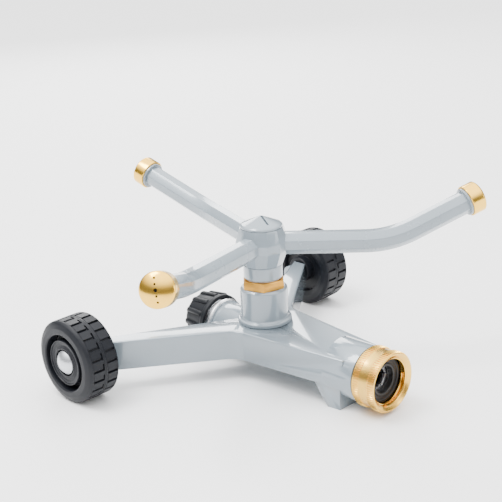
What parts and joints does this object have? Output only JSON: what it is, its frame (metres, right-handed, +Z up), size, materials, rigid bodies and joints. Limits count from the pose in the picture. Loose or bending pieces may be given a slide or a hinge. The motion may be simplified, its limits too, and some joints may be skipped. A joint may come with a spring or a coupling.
{
  "type": "rotary lawn sprinkler",
  "caption": "Rotary lawn sprinkler: a Y-shaped cast base on two wheels and a foot carries a riser, a spinning hub with bent eight-sided arms and brass spray nozzles.",
  "frame": {"origin": "on the ground under the rotor's spin axis", "axes": "+Z up along the spin axis, -Y towards the hose inlet, +X towards the right wheel seen from the inlet"},
  "size_m": [0.231, 0.223, 0.1041],
  "materials": {
    "paint": "glossy silver-grey enamel",
    "arm_paint": "glossy silver-grey enamel on eight-sided tube",
    "post_paint": "glossy silver-grey enamel, turned",
    "hex_brass": "machined, satin",
    "nut_brass": "machined, two knurled bands",
    "nozzle_brass": "polished",
    "bright_steel": "bright turned",
    "chrome_dome": "bright plated",
    "wheel_black": "moulded, fine grain",
    "cap_black": "moulded, ribbed",
    "washer_rubber": "matt",
    "seal_rubber": "smooth",
    "bush_plastic": "self-lubricating bush"
  },
  "bodies": {
    "base": {"base_casting": "paint", "riser_post": "post_paint", "spindle": "hex_brass", "lower_thrust_washer": "bush_plastic", "upper_thrust_washer": "bush_plastic", "spindle_nut": "bright_steel", "inlet_tailpiece": "bright_steel", "inlet_washer": "washer_rubber", "outlet_nipple": "bright_steel", "left_axle": "bright_steel", "right_axle": "bright_steel", "left_axle_cap": "chrome_dome", "right_axle_cap": "chrome_dome"},
    "rotor": {"rotor_hub": "post_paint", "hub_collar": "post_paint", "bearing_bush": "bush_plastic", "hub_cap": "post_paint", "rotor_seal": "seal_rubber", "arm_1": "arm_paint", "arm_2": "arm_paint", "arm_3": "arm_paint", "nozzle_seal_1": "seal_rubber", "nozzle_seal_2": "seal_rubber", "nozzle_seal_3": "seal_rubber"},
    "nozzle_1": {"nozzle_cap_1": "nozzle_brass"},
    "nozzle_2": {"nozzle_cap_2": "nozzle_brass"},
    "nozzle_3": {"nozzle_cap_3": "nozzle_brass"},
    "hose_nut": {"coupling_nut": "nut_brass"},
    "cap_slider": {"outlet_cap_washer": "washer_rubber"},
    "outlet_plug": {"outlet_cap": "cap_black"},
    "wheel_left": {"left_wheel": "wheel_black"},
    "wheel_right": {"right_wheel": "wheel_black"}
  },
  "joints": [
    {"name": "rotor_spin", "type": "hinge", "parent": "base", "child": "rotor", "pos_m": [0, 0, 0.077], "axis": [0, 0, 1], "continuous": true},
    {"name": "nozzle_1_twist", "type": "hinge", "parent": "rotor", "child": "nozzle_1", "pos_m": [0.09226, -0.07405, 0.09295], "axis": [0.8627, -0.3944, 0.3165], "continuous": true},
    {"name": "nozzle_2_twist", "type": "hinge", "parent": "rotor", "child": "nozzle_2", "pos_m": [0.018, 0.11693, 0.09295], "axis": [-0.0898, 0.9443, 0.3165], "continuous": true},
    {"name": "nozzle_3_twist", "type": "hinge", "parent": "rotor", "child": "nozzle_3", "pos_m": [-0.11026, -0.04287, 0.09295], "axis": [-0.7729, -0.5499, 0.3165], "continuous": true},
    {"name": "hose_nut_spin", "type": "hinge", "parent": "base", "child": "hose_nut", "pos_m": [0, -0.0873, 0.019], "axis": [0, -1, 0], "continuous": true},
    {"name": "outlet_cap_draw", "type": "slide", "parent": "base", "child": "cap_slider", "axis": [0, 1, 0], "range_m": [0, 0.0104]},
    {"name": "outlet_cap_turn", "type": "hinge", "parent": "cap_slider", "child": "outlet_plug", "pos_m": [0, 0.047, 0.019], "axis": [0, 1, 0], "range_deg": [0, 1680]},
    {"name": "left_wheel_roll", "type": "hinge", "parent": "base", "child": "wheel_left", "pos_m": [-0.0962, 0.0522, 0.024], "axis": [1, 0, 0], "continuous": true},
    {"name": "right_wheel_roll", "type": "hinge", "parent": "base", "child": "wheel_right", "pos_m": [0.0962, 0.0522, 0.024], "axis": [1, 0, 0], "continuous": true}
  ],
  "couplings": [
    {"joint": "outlet_cap_draw", "follows": "outlet_cap_turn", "m_per_rad": 0.00035157}
  ]
}
